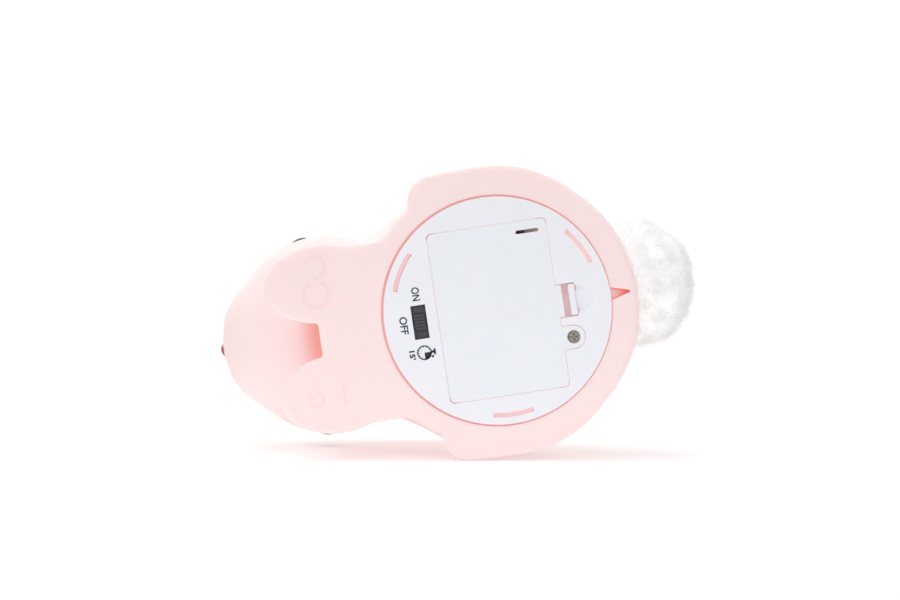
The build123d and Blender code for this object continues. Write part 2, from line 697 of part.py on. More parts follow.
# ---------------------------------------------------------------- cells, contacts and springs
cell_signs = (1, -1, 1)
nub_end = CONTACT_X - BUMP_T
for index, sign in enumerate(cell_signs):
    row_y = (index - 1) * CELL_PITCH
    shoulder = Plane(origin=(sign * (nub_end - CELL_NUB), row_y, CELL_Z), z_dir=(sign, 0, 0))
    with BuildPart() as battery:
        with BuildSketch(shoulder.offset(-CELL_BODY)):
            Circle(CELL_R)
        extrude(amount=CELL_BODY)
        fillet(battery.edges().filter_by(GeomType.CIRCLE), CELL_EDGE_R)
        with BuildSketch(shoulder):
            Circle(CELL_NUB_R)
        extrude(amount=CELL_NUB)
    save(f"battery_{index + 1}", battery.part)


def contact_strip(side, low_y, high_y, bump_y=None, tab_y=None):
    """A sheet-metal contact on a bay's end wall, with a raised button and a solder tab where it has one."""
    wall = Plane(origin=(side * CONTACT_X, 0, 0), x_dir=(0, 1, 0), z_dir=(side, 0, 0))
    upright = side  # local y runs up on the +X wall and down on the -X wall
    with BuildPart() as strip:
        with BuildSketch(wall):
            with Locations(((low_y + high_y) / 2, upright * CELL_Z)):
                RectangleRounded(high_y - low_y, STRIP_HEIGHT, STRIP_CORNER)
        extrude(amount=CONTACT_T)
        if bump_y is not None:
            with BuildSketch(wall.offset(-BUMP_T)):
                with Locations((bump_y, upright * CELL_Z)):
                    Circle(BUMP_R)
            extrude(amount=BUMP_T)
        if tab_y is not None:
            with BuildSketch(wall):
                with Locations((tab_y, upright * (TAB_TOP + CELL_Z) / 2)):
                    Rectangle(TAB_WIDTH, TAB_TOP - CELL_Z)
            extrude(amount=CONTACT_T)
    return strip.part


save("contact_link_front", contact_strip(1, -CELL_PITCH - STRIP_HALF, STRIP_HALF, bump_y=-CELL_PITCH))
save("contact_link_rear", contact_strip(-1, -STRIP_HALF, CELL_PITCH + STRIP_HALF, bump_y=0.0))
save(
    "contact_minus",
    contact_strip(-1, -CELL_PITCH - STRIP_HALF, -CELL_PITCH + STRIP_HALF, tab_y=-CELL_PITCH),
)
save(
    "contact_plus",
    contact_strip(1, CELL_PITCH - STRIP_HALF, CELL_PITCH + STRIP_HALF, bump_y=CELL_PITCH, tab_y=CELL_PITCH),
)

spring_length = CONTACT_X - (CELL_BODY - nub_end + CELL_NUB) - 2 * (SPRING_WIRE_R + SPRING_GAP)
coils = []
for index, sign in enumerate(cell_signs):
    row_y = (index - 1) * CELL_PITCH
    foot = (-sign * (CONTACT_X - SPRING_WIRE_R - SPRING_GAP), row_y, CELL_Z)
    with BuildPart() as coil:
        with BuildLine() as turns:
            Helix(
                spring_length / SPRING_TURNS,
                spring_length,
                SPRING_R,
                center=foot,
                direction=(sign, 0, 0),
            )
        with BuildSketch(Plane(origin=turns.line @ 0, z_dir=turns.line % 0)):
            Circle(SPRING_WIRE_R)
        sweep(path=turns.line, is_frenet=True)
    coils.append(coil.part)
save("contact_springs", Compound(children=coils))

# ---------------------------------------------------------------- circuit board and its parts
with BuildPart() as circuit_board:
    with BuildSketch(Plane.XY.offset(BOARD_Z)):
        Circle(BOARD_R)
        with Locations(*POST_PLACES):
            Circle(BOARD_HOLE_R, mode=Mode.SUBTRACT)
    extrude(amount=BOARD_T)
save("circuit_board", circuit_board.part)

with BuildPart() as board_screws:
    with Locations(*[(x, y, BOARD_TOP) for x, y in POST_PLACES]):
        Cylinder(*BOARD_SCREW_HEAD, align=UPWARD)
    with Locations(*[(x, y, BOARD_TOP) for x, y in POST_PLACES]):
        Cylinder(*BOARD_SCREW_SHANK, align=DOWNWARD)
    with Locations(*[(x, y, BOARD_TOP + BOARD_SCREW_HEAD[1]) for x, y in POST_PLACES]):
        Box(*BOARD_SCREW_SLOT, mode=Mode.SUBTRACT)
save("board_screws", board_screws.part)

with BuildPart() as leds:
    with PolarLocations(LED_RING_R, LED_COUNT, start_angle=90):
        with Locations((0, 0, BOARD_TOP)):
            Cylinder(*LED_FLANGE, align=UPWARD)
            Cylinder(LED_R, LED_HEIGHT, align=UPWARD)
        with Locations((0, 0, BOARD_TOP + LED_HEIGHT)):
            Sphere(LED_R)
save("leds", leds.part)

with BuildPart() as timer_chip:
    with Locations((0, CHIP_Y, BOARD_TOP + CHIP_STANDOFF)):
        Box(*CHIP, align=UPWARD)
    with Locations((0, CHIP_Y, BOARD_TOP)):
        with GridLocations(*CHIP_LEG_PITCH, *CHIP_LEG_GRID):
            Box(*CHIP_LEG, align=UPWARD)
save("timer_chip", timer_chip.part)

with BuildPart() as capacitor:
    with Locations((*CAPACITOR_PLACE, BOARD_TOP)):
        Cylinder(*CAPACITOR, align=UPWARD)
    fillet(capacitor.edges().group_by(Axis.Z)[-1], CAPACITOR_EDGE_R)
save("capacitor", capacitor.part)

with BuildPart() as resistors:
    with Locations((*RESISTOR_PLACE, BOARD_TOP)):
        with GridLocations(1, RESISTOR_PITCH, 1, RESISTOR_COUNT):
            Box(*RESISTOR, align=UPWARD)
save("resistors", resistors.part)

# ---------------------------------------------------------------- leads
lead_names = {"lead_red": 1, "lead_black": -1}
for name, side in lead_names.items():
    lead_y = side * CELL_PITCH
    with BuildPart() as lead:
        with BuildLine() as route:
            FilletPolyline(
                (side * CONTACT_X, lead_y, LEAD_Z),
                (side * LEAD_TURN_X, lead_y, LEAD_Z),
                (side * LEAD_TURN_X, lead_y, BOARD_Z),
                radius=LEAD_BEND_R,
            )
        with BuildSketch(Plane(origin=route.line @ 0, z_dir=route.line % 0)):
            Circle(LEAD_R)
        sweep(path=route.line)
    save(name, lead.part)

with BuildPart() as switch_leads:
    with BuildSketch(Plane.XY.offset(SWITCH_BODY_Z[1])):
        with Locations((0, SWITCH_LEAD_Y)):
            with GridLocations(SWITCH_LEAD_PITCH, 1, 3, 1):
                Circle(LEAD_R)
    extrude(amount=BOARD_Z - SWITCH_BODY_Z[1])
save("switch_leads", switch_leads.part)

# ---------------------------------------------------------------- light diffuser
cap_r = dome_radius(DIFFUSER_R, DIFFUSER_RISE)
inner_r = sqrt((cap_r - DIFFUSER_T) ** 2 - (cap_r - DIFFUSER_RISE) ** 2)
apex = DIFFUSER_RIM_TOP + DIFFUSER_RISE
with BuildPart() as light_diffuser:
    with BuildSketch(Plane.XZ):
        with BuildLine():
            RadiusArc((DIFFUSER_R, DIFFUSER_RIM_TOP), (0, apex), -cap_r)
            Line((0, apex), (0, apex - DIFFUSER_T))
            RadiusArc((0, apex - DIFFUSER_T), (inner_r, DIFFUSER_RIM_TOP), cap_r - DIFFUSER_T)
            Polyline(
                (inner_r, DIFFUSER_RIM_TOP),
                (inner_r, SPIGOT_Z),
                (SPIGOT_R, SPIGOT_Z),
                (SPIGOT_R, DIFFUSER_SEAT_Z),
                (CUP_OUTER_R, DIFFUSER_SEAT_Z),
                (CUP_OUTER_R, DIFFUSER_RIM_TOP),
                (DIFFUSER_R, DIFFUSER_RIM_TOP),
            )
        make_face()
    revolve(axis=Axis.Z)
save("light_diffuser", light_diffuser.part)
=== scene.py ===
"""Looks for a soft vinyl crouching-rabbit night light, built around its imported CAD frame.

Lengths named below are in millimetres in the row frame (+Z up, animal facing -Y) unless they say metres.
"""

import json
import math

import bmesh
import bpy
import numpy as np
import openvdb
from mathutils import Matrix, Vector


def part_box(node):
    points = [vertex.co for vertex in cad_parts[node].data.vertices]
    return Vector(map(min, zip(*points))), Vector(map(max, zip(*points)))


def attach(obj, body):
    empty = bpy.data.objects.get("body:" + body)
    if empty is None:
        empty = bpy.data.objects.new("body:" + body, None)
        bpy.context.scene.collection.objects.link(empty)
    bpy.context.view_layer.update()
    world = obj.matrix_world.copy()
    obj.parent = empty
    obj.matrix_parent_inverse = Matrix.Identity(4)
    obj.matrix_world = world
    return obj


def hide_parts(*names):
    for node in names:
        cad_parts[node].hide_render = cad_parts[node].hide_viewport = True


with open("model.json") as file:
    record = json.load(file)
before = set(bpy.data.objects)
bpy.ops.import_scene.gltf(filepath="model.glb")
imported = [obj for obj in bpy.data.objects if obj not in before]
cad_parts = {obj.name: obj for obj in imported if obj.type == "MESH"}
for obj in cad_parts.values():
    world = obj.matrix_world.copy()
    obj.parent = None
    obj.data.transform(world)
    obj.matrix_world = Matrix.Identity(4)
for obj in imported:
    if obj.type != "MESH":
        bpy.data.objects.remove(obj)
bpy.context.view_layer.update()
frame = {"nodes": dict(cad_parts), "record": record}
nodes = frame["nodes"]

MM = 0.001
SEED = 20
WALL = 3.0  # the skin's thickness
PLATE_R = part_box("base_plate")[1].x / MM
RECESS_R = PLATE_R + 0.5
RECESS_SHIFT = (0.1, -0.25)
RECESS_EDGE = 0.7
RECESS_TOP = 6.0
BELOW = -1.0  # where a cutter starts, under the animal
NOTCH = (2.4, 0.35, 42.4)  # half widths at the plate and at the tip, and the tip's radius
MARK_DEPTH = 0.12
HOLLOW_STEP = 2.4
LIP_R = PLATE_R - 3.6
LIP_Z = 1.9  # the lip of skin that the base plate snaps over
LIP_TOP = 4.4


# ---------------------------------------------------------------- materials
def shader(name, colour, roughness, **values):
    """A material with one Principled shader, its plain numbers set on its own sockets."""
    made = bpy.data.materials.new(name)
    made.use_nodes = True
    tree = made.node_tree
    surface = tree.nodes["Principled BSDF"]
    surface.inputs["Base Color"].default_value = (*colour, 1)
    surface.inputs["Roughness"].default_value = roughness
    for socket, value in values.items():
        surface.inputs[socket.replace("_", " ")].default_value = value
    return made, tree, surface


def noise(tree, scale, detail=3.0, rough=0.55):
    """Noise over the object's own coordinates; scale is in cycles per metre."""
    place = tree.nodes.new("ShaderNodeTexCoord")
    pattern = tree.nodes.new("ShaderNodeTexNoise")
    pattern.inputs["Scale"].default_value = scale
    pattern.inputs["Detail"].default_value = detail
    pattern.inputs["Roughness"].default_value = rough
    tree.links.new(place.outputs["Object"], pattern.inputs["Vector"])
    return pattern


def mottle(tree, surface, low, high, scale, detail=3.0):
    """Slow colour variation between two close colours."""
    pattern = noise(tree, scale, detail)
    ramp = tree.nodes.new("ShaderNodeValToRGB")
    ramp.color_ramp.elements[0].position = 0.3
    ramp.color_ramp.elements[1].position = 0.7
    ramp.color_ramp.elements[0].color = (*low, 1)
    ramp.color_ramp.elements[1].color = (*high, 1)
    tree.links.new(pattern.outputs["Fac"], ramp.inputs["Fac"])
    tree.links.new(ramp.outputs["Color"], surface.inputs["Base Color"])
    return ramp


def grain(tree, surface, scale, depth, strength=0.5, detail=4.0):
    """A moulded surface grain of the given depth in metres."""
    pattern = noise(tree, scale, detail, 0.65)
    bump = tree.nodes.new("ShaderNodeBump")
    bump.inputs["Distance"].default_value = depth
    bump.inputs["Strength"].default_value = strength
    tree.links.new(pattern.outputs["Fac"], bump.inputs["Height"])
    tree.links.new(bump.outputs["Normal"], surface.inputs["Normal"])


def uneven_gloss(tree, surface, low, high, scale):
    """Roughness that wanders between two values, as handled plastic's does."""
    pattern = noise(tree, scale, 5.0, 0.6)
    span = tree.nodes.new("ShaderNodeMapRange")
    span.inputs["To Min"].default_value = low
    span.inputs["To Max"].default_value = high
    tree.links.new(pattern.outputs["Fac"], span.inputs["Value"])
    tree.links.new(span.outputs["Result"], surface.inputs["Roughness"])


def lit_recess(tree, surface, colour):
    """Light through the skin's thin edge, on the wall and seat of the recess that holds the base."""
    place = tree.nodes.new("ShaderNodeTexCoord")
    centred = tree.nodes.new("ShaderNodeVectorMath")
    centred.operation = "MULTIPLY_ADD"
    centred.inputs[1].default_value = (1, 1, 0)
    centred.inputs[2].default_value = (-RECESS_SHIFT[0] * MM, -RECESS_SHIFT[1] * MM, 0)
    reach = tree.nodes.new("ShaderNodeVectorMath")
    reach.operation = "LENGTH"
    within = tree.nodes.new("ShaderNodeMapRange")
    within.inputs["From Min"].default_value = (RECESS_R + 0.25) * MM
    within.inputs["From Max"].default_value = (RECESS_R + 0.05) * MM
    apart = tree.nodes.new("ShaderNodeSeparateXYZ")
    low = tree.nodes.new("ShaderNodeMapRange")
    low.inputs["From Min"].default_value = (LIP_TOP + 0.6) * MM
    low.inputs["From Max"].default_value = LIP_TOP * MM
    mask = tree.nodes.new("ShaderNodeMath")
    mask.operation = "MULTIPLY"
    strength = tree.nodes.new("ShaderNodeMath")
    strength.operation = "MULTIPLY_ADD"
    strength.inputs[1].default_value = 0.06
    strength.inputs[2].default_value = 0.09
    pale = tree.nodes.new("ShaderNodeMix")
    pale.data_type = "RGBA"
    pale.inputs["B"].default_value = (0.95, 0.76, 0.74, 1)
    tree.links.new(place.outputs["Object"], centred.inputs[0])
    tree.links.new(centred.outputs["Vector"], reach.inputs[0])
    tree.links.new(reach.outputs["Value"], within.inputs["Value"])
    tree.links.new(place.outputs["Object"], apart.inputs["Vector"])
    tree.links.new(apart.outputs["Z"], low.inputs["Value"])
    tree.links.new(within.outputs["Result"], mask.inputs[0])
    tree.links.new(low.outputs["Result"], mask.inputs[1])
    tree.links.new(mask.outputs["Value"], strength.inputs[0])
    tree.links.new(mask.outputs["Value"], pale.inputs["Factor"])
    tree.links.new(colour, pale.inputs["A"])
    tree.links.new(strength.outputs["Value"], surface.inputs["Emission Strength"])
    tree.links.new(pale.outputs["Result"], surface.inputs["Base Color"])


def vinyl():
    """Pale pink vinyl whose creases glow a deeper salmon, as a translucent skin's do."""
    # the faint salmon emission is a painted glow over the whole skin
    made, tree, surface = shader(
        "vinyl_pink", (0.95, 0.77, 0.77), 0.48, Subsurface_Weight=0.4, Subsurface_Scale=0.0028,
        Subsurface_Radius=(1.0, 0.35, 0.28), Specular_IOR_Level=0.35, Sheen_Weight=0.1, Sheen_Roughness=0.5,
        Emission_Color=(1.0, 0.36, 0.33, 1), Emission_Strength=0.09,
    )
    ramp = mottle(tree, surface, (0.922, 0.79, 0.79), (0.938, 0.812, 0.812), 28.0)
    # painted shade: occluded creases and hollows take a deeper salmon base colour
    shelter = tree.nodes.new("ShaderNodeAmbientOcclusion")
    shelter.only_local = True
    shelter.samples = 8
    shelter.inputs["Distance"].default_value = 0.022
    depth = tree.nodes.new("ShaderNodeMapRange")
    depth.inputs["From Min"].default_value = 0.36
    depth.inputs["From Max"].default_value = 0.72
    blend = tree.nodes.new("ShaderNodeMix")
    blend.data_type = "RGBA"
    blend.inputs["A"].default_value = (0.94, 0.30, 0.24, 1)
    tree.links.new(shelter.outputs["AO"], depth.inputs["Value"])
    tree.links.new(depth.outputs["Result"], blend.inputs["Factor"])
    tree.links.new(ramp.outputs["Color"], blend.inputs["B"])
    lit_recess(tree, surface, blend.outputs["Result"])
    uneven_gloss(tree, surface, 0.42, 0.56, 180.0)
    grain(tree, surface, 2600.0, 0.00004, 0.35)
    return made


def lit_gaps(tree, surface, strength):
    """Light that comes through the warm skin and shows in the narrow gaps between moulded pieces."""
    shelter = tree.nodes.new("ShaderNodeAmbientOcclusion")
    shelter.samples = 8
    shelter.inputs["Distance"].default_value = 0.004
    spread = tree.nodes.new("ShaderNodeMapRange")
    spread.inputs["From Min"].default_value = 0.1
    spread.inputs["From Max"].default_value = 0.5
    spread.inputs["To Min"].default_value = strength
    spread.inputs["To Max"].default_value = GLOW["Emission_Strength"]
    blend = tree.nodes.new("ShaderNodeMix")
    blend.data_type = "RGBA"
    blend.inputs["A"].default_value = (1.0, 0.66, 0.65, 1)
    blend.inputs["B"].default_value = GLOW["Emission_Color"]
    tree.links.new(shelter.outputs["AO"], spread.inputs["Value"])
    tree.links.new(shelter.outputs["AO"], blend.inputs["Factor"])
    tree.links.new(spread.outputs["Result"], surface.inputs["Emission Strength"])
    tree.links.new(blend.outputs["Result"], surface.inputs["Emission Color"])


def moulded(name, low, high, depth, gloss=(0.38, 0.5), gaps=None, **values):
    """Moulded plastic between two colours, with a grain of the given depth in metres."""
    made, tree, surface = shader(name, high, gloss[0], **values)
    mottle(tree, surface, low, high, 60.0)
    uneven_gloss(tree, surface, gloss[0], gloss[1], 240.0)
    grain(tree, surface, 5200.0, depth, 0.4)
    if gaps:
        lit_gaps(tree, surface, gaps)
    return made


def fur_fibre():
    """White fibres, which pass light on to each other."""
    made, tree, surface = shader(
        "pompom_fur", (0.94, 0.94, 0.94), 0.8, Sheen_Weight=0.3, Sheen_Roughness=0.4,
        Specular_IOR_Level=0.1, Emission_Color=(1.0, 0.985, 0.975, 1), Emission_Strength=0.28,
    )
    mottle(tree, surface, (0.91, 0.91, 0.915), (0.965, 0.962, 0.958), 320.0, 4.0)
    return made


def painted_recess_shade(tree, surface, ramp, dark, distance):
    """Painted shade: a darker colour in grooves and recesses about as deep as the distance in metres."""
    shelter = tree.nodes.new("ShaderNodeAmbientOcclusion")
    shelter.samples = 8
    shelter.inputs["Distance"].default_value = distance
    blend = tree.nodes.new("ShaderNodeMix")
    blend.data_type = "RGBA"
    blend.inputs["A"].default_value = (*dark, 1)
    tree.links.new(shelter.outputs["AO"], blend.inputs["Factor"])
    tree.links.new(ramp.outputs["Color"], blend.inputs["B"])
    tree.links.new(blend.outputs["Result"], surface.inputs["Base Color"])


def ribbed_black():
    """Black moulded plastic of the switch knob, greyer on its ribs than between them, where painted shade
    darkens the grooves.
    """
    made, tree, surface = shader("switch_black", (0.09, 0.09, 0.095), 0.3)
    ramp = mottle(tree, surface, (0.075, 0.075, 0.08), (0.10, 0.10, 0.106), 300.0)
    # painted shade darkens the grooves between the ribs
    painted_recess_shade(tree, surface, ramp, (0.004, 0.004, 0.005), 0.0016)
    uneven_gloss(tree, surface, 0.24, 0.36, 600.0)
    grain(tree, surface, 5200.0, 0.00002, 0.4)
    return made


def metal(name, colour, roughness, recess_shade_colour=None):
    """A plated metal; where a recess shade colour is given, its recesses are darker, with painted shade."""
    made, tree, surface = shader(name, colour, roughness, Metallic=1.0)
    ramp = mottle(tree, surface, tuple(0.86 * c for c in colour), colour, 900.0)
    uneven_gloss(tree, surface, roughness * 0.8, roughness * 1.4, 1500.0)
    grain(tree, surface, 7000.0, 0.00001, 0.5)
    if recess_shade_colour:
        # painted shade: the recesses are darkened towards the given colour
        painted_recess_shade(tree, surface, ramp, recess_shade_colour, 0.0009)
    return made


def cell_jacket():
    """A printed cell jacket: dark grey with a copper-coloured band at one end."""
    made, tree, surface = shader("battery_jacket", (0.08, 0.08, 0.09), 0.3, Metallic=0.6, Coat_Weight=0.4)
    place = tree.nodes.new("ShaderNodeTexCoord")
    split = tree.nodes.new("ShaderNodeSeparateXYZ")
    ramp = tree.nodes.new("ShaderNodeValToRGB")
    ramp.color_ramp.interpolation = "CONSTANT"
    ramp.color_ramp.elements[0].color = (0.42, 0.20, 0.10, 1)
    ramp.color_ramp.elements[1].position = 0.24
    ramp.color_ramp.elements[1].color = (0.06, 0.06, 0.065, 1)
    tree.links.new(place.outputs["Generated"], split.inputs["Vector"])
    tree.links.new(split.outputs["X"], ramp.inputs["Fac"])
    tree.links.new(ramp.outputs["Color"], surface.inputs["Base Color"])
    uneven_gloss(tree, surface, 0.25, 0.4, 400.0)
    return made


def diffuser():
    """Milky plastic that scatters the lamps' light."""
    made, tree, surface = shader(
        "diffuser_white", (0.93, 0.93, 0.91), 0.5, Subsurface_Weight=0.6, Subsurface_Scale=0.003,
        Subsurface_Radius=(1.0, 1.0, 0.9),
    )
    mottle(tree, surface, (0.91, 0.91, 0.89), (0.94, 0.94, 0.93), 90.0)
    grain(tree, surface, 3000.0, 0.00002, 0.4)
    return made


def lens():
    """The clear, slightly yellow dome of a lamp."""
    made, tree, surface = shader("led_lens", (0.96, 0.94, 0.86), 0.12, Coat_Weight=0.5)
    mottle(tree, surface, (0.94, 0.91, 0.80), (0.97, 0.95, 0.88), 400.0)
    return made


# light that comes through the translucent plastic and warms its crevices
GLOW = {"Emission_Color": (1.0, 0.74, 0.77, 1), "Emission_Strength": 0.11}

finishes = {
    "vinyl_pink": vinyl(),
    "eye_black": moulded("eye_black", (0.012, 0.010, 0.010), (0.022, 0.019, 0.018), 0.000002, (0.07, 0.12),
                         Coat_Weight=0.8, Coat_Roughness=0.04),
    "nose_rose": moulded("nose_rose", (0.40, 0.13, 0.15), (0.47, 0.17, 0.19), 0.00003, (0.4, 0.5),
                         Subsurface_Weight=0.2, Subsurface_Scale=0.001),
    "pompom_fur": fur_fibre(),
    "clear_plastic": moulded("clear_plastic", (0.82, 0.82, 0.80), (0.87, 0.87, 0.85), 0.00002),
    "plastic_white": moulded("plastic_white", (0.785, 0.83, 0.88), (0.803, 0.848, 0.898), 0.00003,
                             gaps=0.21, Subsurface_Weight=0.3, Subsurface_Scale=0.0015, **GLOW),
    "plastic_door": moulded("plastic_door", (0.762, 0.823, 0.866), (0.78, 0.841, 0.884), 0.00003,
                            gaps=0.21, Subsurface_Weight=0.3, Subsurface_Scale=0.0015, **GLOW),
    # the last colour is the near-black painted shade in the screw's recesses
    "steel": metal("steel", (0.56, 0.53, 0.47), 0.2, (0.03, 0.026, 0.022)),
    "plastic_black": moulded("plastic_black", (0.014, 0.014, 0.016), (0.026, 0.026, 0.029), 0.00002,
                             (0.24, 0.34)),
    "battery_jacket": cell_jacket(),
    "nickel": metal("nickel", (0.66, 0.64, 0.60), 0.26),
    "board_green": moulded("board_green", (0.015, 0.16, 0.06), (0.025, 0.22, 0.09), 0.00001, (0.25, 0.35)),
    "led_lens": lens(),
    "chip_black": moulded("chip_black", (0.02, 0.02, 0.02), (0.035, 0.035, 0.035), 0.00002, (0.5, 0.65)),
    "capacitor_black": moulded("capacitor_black", (0.02, 0.02, 0.06), (0.03, 0.03, 0.09), 0.000005,
                               (0.2, 0.3)),
    "resistor_tan": moulded("resistor_tan", (0.03, 0.03, 0.035), (0.06, 0.06, 0.065), 0.00001, (0.4, 0.5)),
    "wire_red": moulded("wire_red", (0.50, 0.02, 0.02), (0.62, 0.03, 0.03), 0.00001, (0.3, 0.4)),
    "wire_black": moulded("wire_black", (0.015, 0.015, 0.015), (0.03, 0.03, 0.03), 0.00001, (0.3, 0.4)),
    "diffuser_white": diffuser(),
}

for part in frame["record"]["subparts"]:
    mesh = nodes[part["node"]].data
    mesh.materials.clear()
    mesh.materials.append(finishes[part["material_slot"]])
nodes["switch_knob"].data.materials[0] = ribbed_black()


# ---------------------------------------------------------------- building pieces
def piece(name, mesh, body, slot):
    """A new object in the scene that rides on a body and takes its finish from a slot."""
    made = bpy.data.objects.new(name, mesh)
    bpy.context.scene.collection.objects.link(made)
    mesh.materials.clear()
    mesh.materials.append(finishes[slot])
    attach(made, body)
    return made


def mesh_from(name, points, faces):
    """A mesh from points in millimetres."""
    made = bpy.data.meshes.new(name)
    made.from_pydata((np.asarray(points, float) * MM).tolist(), [], [list(map(int, f)) for f in faces])
    made.update()
    return made


def smooth(mesh, angle=35.0):
    """Smooth shading, with edges sharper than the angle kept sharp."""
    mesh.polygons.foreach_set("use_smooth", [True] * len(mesh.polygons))
    mesh.set_sharp_from_angle(angle=math.radians(angle))


def lathe(name, profile, turns=256, centre=(0, 0)):
    """A solid turned about the vertical, from (radius, height) points that start and end on the axis."""
    points = [(0, 0, profile[0][1])]
    rings = profile[1:-1]
    for radius, height in rings:
        for i in range(turns):
            a = 2 * math.pi * i / turns
            points.append((radius * math.cos(a), radius * math.sin(a), height))
    points.append((0, 0, profile[-1][1]))
    last = len(points) - 1
    faces = []
    for i in range(turns):
        j = (i + 1) % turns
        faces.append((0, 1 + j, 1 + i))
        for r in range(len(rings) - 1):
            low, high = 1 + r * turns, 1 + (r + 1) * turns
            faces.append((low + i, low + j, high + j, high + i))
        top = 1 + (len(rings) - 1) * turns
        faces.append((last, top + i, top + j))
    points = [(x + centre[0], y + centre[1], z) for x, y, z in points]
    return mesh_from(name, points, faces)


def cut(target, cutter_mesh):
    """Takes a closed mesh away from a temporary object's mesh."""
    cutter = bpy.data.objects.new("cutter", cutter_mesh)
    bpy.context.scene.collection.objects.link(cutter)
    modifier = target.modifiers.new("cut", "BOOLEAN")
    modifier.operation = "DIFFERENCE"
    modifier.solver = "EXACT"
    modifier.object = cutter
    bpy.context.view_layer.update()
    result = bpy.data.meshes.new_from_object(target.evaluated_get(bpy.context.evaluated_depsgraph_get()))
    target.modifiers.clear()
    target.data = result
    bpy.data.objects.remove(cutter)


# ---------------------------------------------------------------- the animal as one distance field
# each form is its centre and its semi-axes; the blend widths are where the forms are joined
SHOULDERS = ((0, -27, 50), (31.5, 31, 32.5))
CHEST = ((0, -36, 24), (28.5, 20.5, 34))
HAUNCH = ((29, 7, 27), (15.0, 23.0, 23))
FORELEG = ((17.6, -47, 26), (11.6, 15, 26))
HEAD = ((0, -58, 60), (34.3, 32.8, 32.8))
CHEEK = ((6.0, -80.5, 52.5), (11.0, 11.5, 9.6))
MUZZLE = ((0, -84, 56), (7.0, 9.6, 6.5))
EAR_BLADE = ((0, 0, 0), (9.6, 29.5, 4.6))
EAR_HOLLOW = ((0, 1.5, 6.2), (5.9, 21.0, 4.2))
EAR_CENTRE = (13.8, -19.0, 84.6)
EAR_TILT = -13.0
EAR_SPLAY = -9.0
TRUNK_R = 46.0
TRUNK_WIDEST_Z = 28.0
TRUNK_RISE = (50.0, 84.0)  # above and below the widest height
TRUNK_SHIFT = 1.0
APRON_HALF = (28.4, 18.5)
APRON_Y = -38.5
APRON_CORNER = 9.0
APRON_TOP = 12.0
PAW = ((17.7, -54.2), (12.5, 18.2), 17.0)  # centre, semi-axes and height
PAW_SHIFT = -1.0
FOOT = (8.4, 15.0)  # radius and height
FOOT_R = 37.8
FOOT_START = -21.8
FOOT_END = 44
SOLE_EDGE = 1.0


def ellipsoid(p, centre, semi):
    """Distance to an ellipsoid, near enough to blend."""
    q = (p - np.array(centre, np.float32)) / np.array(semi, np.float32)
    k0 = np.linalg.norm(q, axis=-1)
    k1 = np.linalg.norm(q / np.array(semi, np.float32), axis=-1)
    return k0 * (k0 - 1) / np.maximum(k1, 1e-6)


def join(a, b, blend):
    """Union of two fields with a fillet about as wide as blend."""
    h = np.clip(0.5 + 0.5 * (b - a) / blend, 0, 1)
    return b + (a - b) * h - blend * h * (1 - h)


def carve(a, b, blend):
    """a without b, with a soft edge."""
    return -join(-a, b, blend)


def mirrored(p):
    """Points folded onto the +X half, for features that stand on both sides."""
    return np.stack([np.abs(p[..., 0]), p[..., 1], p[..., 2]], -1)


def turned(p, centre, tilt, splay):
    """Points in the frame of a form that is tilted about X and splayed about Z, in degrees."""
    q = p - np.array(centre, np.float32)
    s = math.radians(splay)
    t = math.radians(tilt)
    x = q[..., 0] * math.cos(s) + q[..., 1] * math.sin(s)
    y = -q[..., 0] * math.sin(s) + q[..., 1] * math.cos(s)
    z = q[..., 2]
    return np.stack([x, y * math.cos(t) + z * math.sin(t), -y * math.sin(t) + z * math.cos(t)], -1)


def foot(p, route, radius, height, edge):
    """A foot that follows the trunk's outline: a flat underside, blunt toes and a domed top."""
    far = np.full(p.shape[:-1], 1e3, np.float32)
    for start, end in zip(route[:-1], route[1:]):
        a, b = np.array(start, np.float32), np.array(end, np.float32)
        along = np.clip(((p[..., :2] - a) @ (b - a)) / ((b - a) @ (b - a)), 0, 1)
        far = np.minimum(far, np.linalg.norm(p[..., :2] - a - along[..., None] * (b - a), axis=-1))
    dome = np.sqrt((far / radius) ** 2 + (np.maximum(p[..., 2] - edge, 0) / (height - edge)) ** 2)
    return (dome - 1) * radius


def pad(p, centre, semi, height, edge):
    """A sole: an oval with a flat underside, a round lower edge and a domed top."""
    q = p - np.array((centre[0], centre[1], 0), np.float32)
    oval = np.sqrt((q[..., 0] / semi[0]) ** 2 + (q[..., 1] / semi[1]) ** 2)
    dome = np.sqrt(oval**2 + (np.maximum(q[..., 2] - edge, 0) / (height - edge)) ** 2)
    return (dome - 1) * min(semi)


def trunk(p):
    """The body's dome, steeper above its widest height than below it."""
    radius = np.hypot(p[..., 0], p[..., 1])
    height = p[..., 2] - TRUNK_WIDEST_Z
    rise = np.where(height > 0, *TRUNK_RISE)
    k0 = np.sqrt((radius / TRUNK_R) ** 2 + (height / rise) ** 2)
    k1 = np.sqrt((radius / TRUNK_R**2) ** 2 + (height / rise**2) ** 2)
    return k0 * (k0 - 1) / np.maximum(k1, 1e-6)


def apron(p):
    """The flat-bottomed belly between the trunk and the paws."""
    half = np.array(APRON_HALF, np.float32)
    q = np.abs(p[..., :2] - np.array((0, APRON_Y), np.float32)) - half + APRON_CORNER
    flat = np.linalg.norm(np.maximum(q, 0), axis=-1) + np.minimum(q.max(-1), 0) - APRON_CORNER
    top = p[..., 2] - APRON_TOP
    return np.maximum(flat, top)


def ear(p):
    """The left ear, a flat blade with a hollowed face."""
    q = turned(p, EAR_CENTRE, EAR_TILT, EAR_SPLAY)
    return carve(ellipsoid(q, *EAR_BLADE), ellipsoid(q, *EAR_HOLLOW), 1.6)


def foot_route():
    """Points along the middle of the left foot, from the toes round the trunk to the heel."""
    points = []
    for turn in np.linspace(FOOT_START, FOOT_END, 14):
        toes = min(turn / -FOOT_START, 0)
        heel = max((turn - 12) / 32, 0)
        reach = FOOT_R + 2.4 * toes**2 - 2.2 * heel**2
        points.append((reach * math.cos(math.radians(turn)), reach * math.sin(math.radians(turn))))
    return points


FOOT_ROUTE = foot_route()


